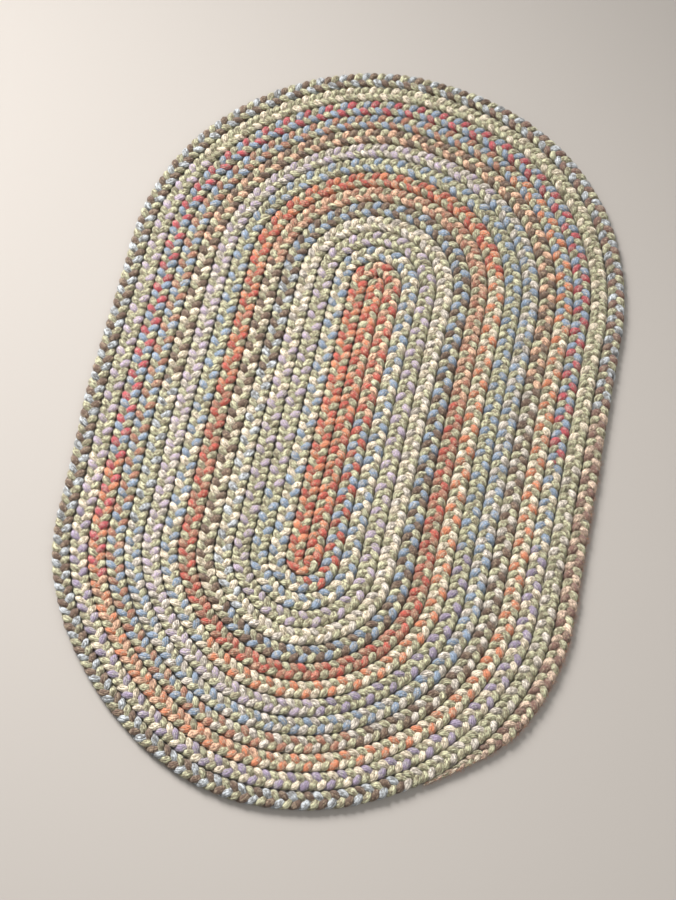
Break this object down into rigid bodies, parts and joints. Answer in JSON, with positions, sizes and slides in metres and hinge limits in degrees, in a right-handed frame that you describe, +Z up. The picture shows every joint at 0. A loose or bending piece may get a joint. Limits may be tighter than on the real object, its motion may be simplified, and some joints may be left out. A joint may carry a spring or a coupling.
{
  "type": "braided rug",
  "caption": "Oval area rug made of one continuous flat braid of space-dyed yarn, wound in a spiral and laced edge to edge.",
  "frame": {"origin": "centre of the underside, on the floor, under the middle of the rug's box", "axes": "+Y along the rug's length, towards the end where the braid starts; +X across it, to the side that the tapered tail comes down; +Z up out of the walking face"},
  "size_m": [0.5886, 0.9139, 0.0105],
  "materials": {
    "braid_yarn": "matt heathered wool-blend yarn, plied and plaited, in sage green with blue, cream, lilac, red, orange and brown runs"
  },
  "bodies": {
    "root": {"braided_rug": "braid_yarn"}
  },
  "joints": []
}
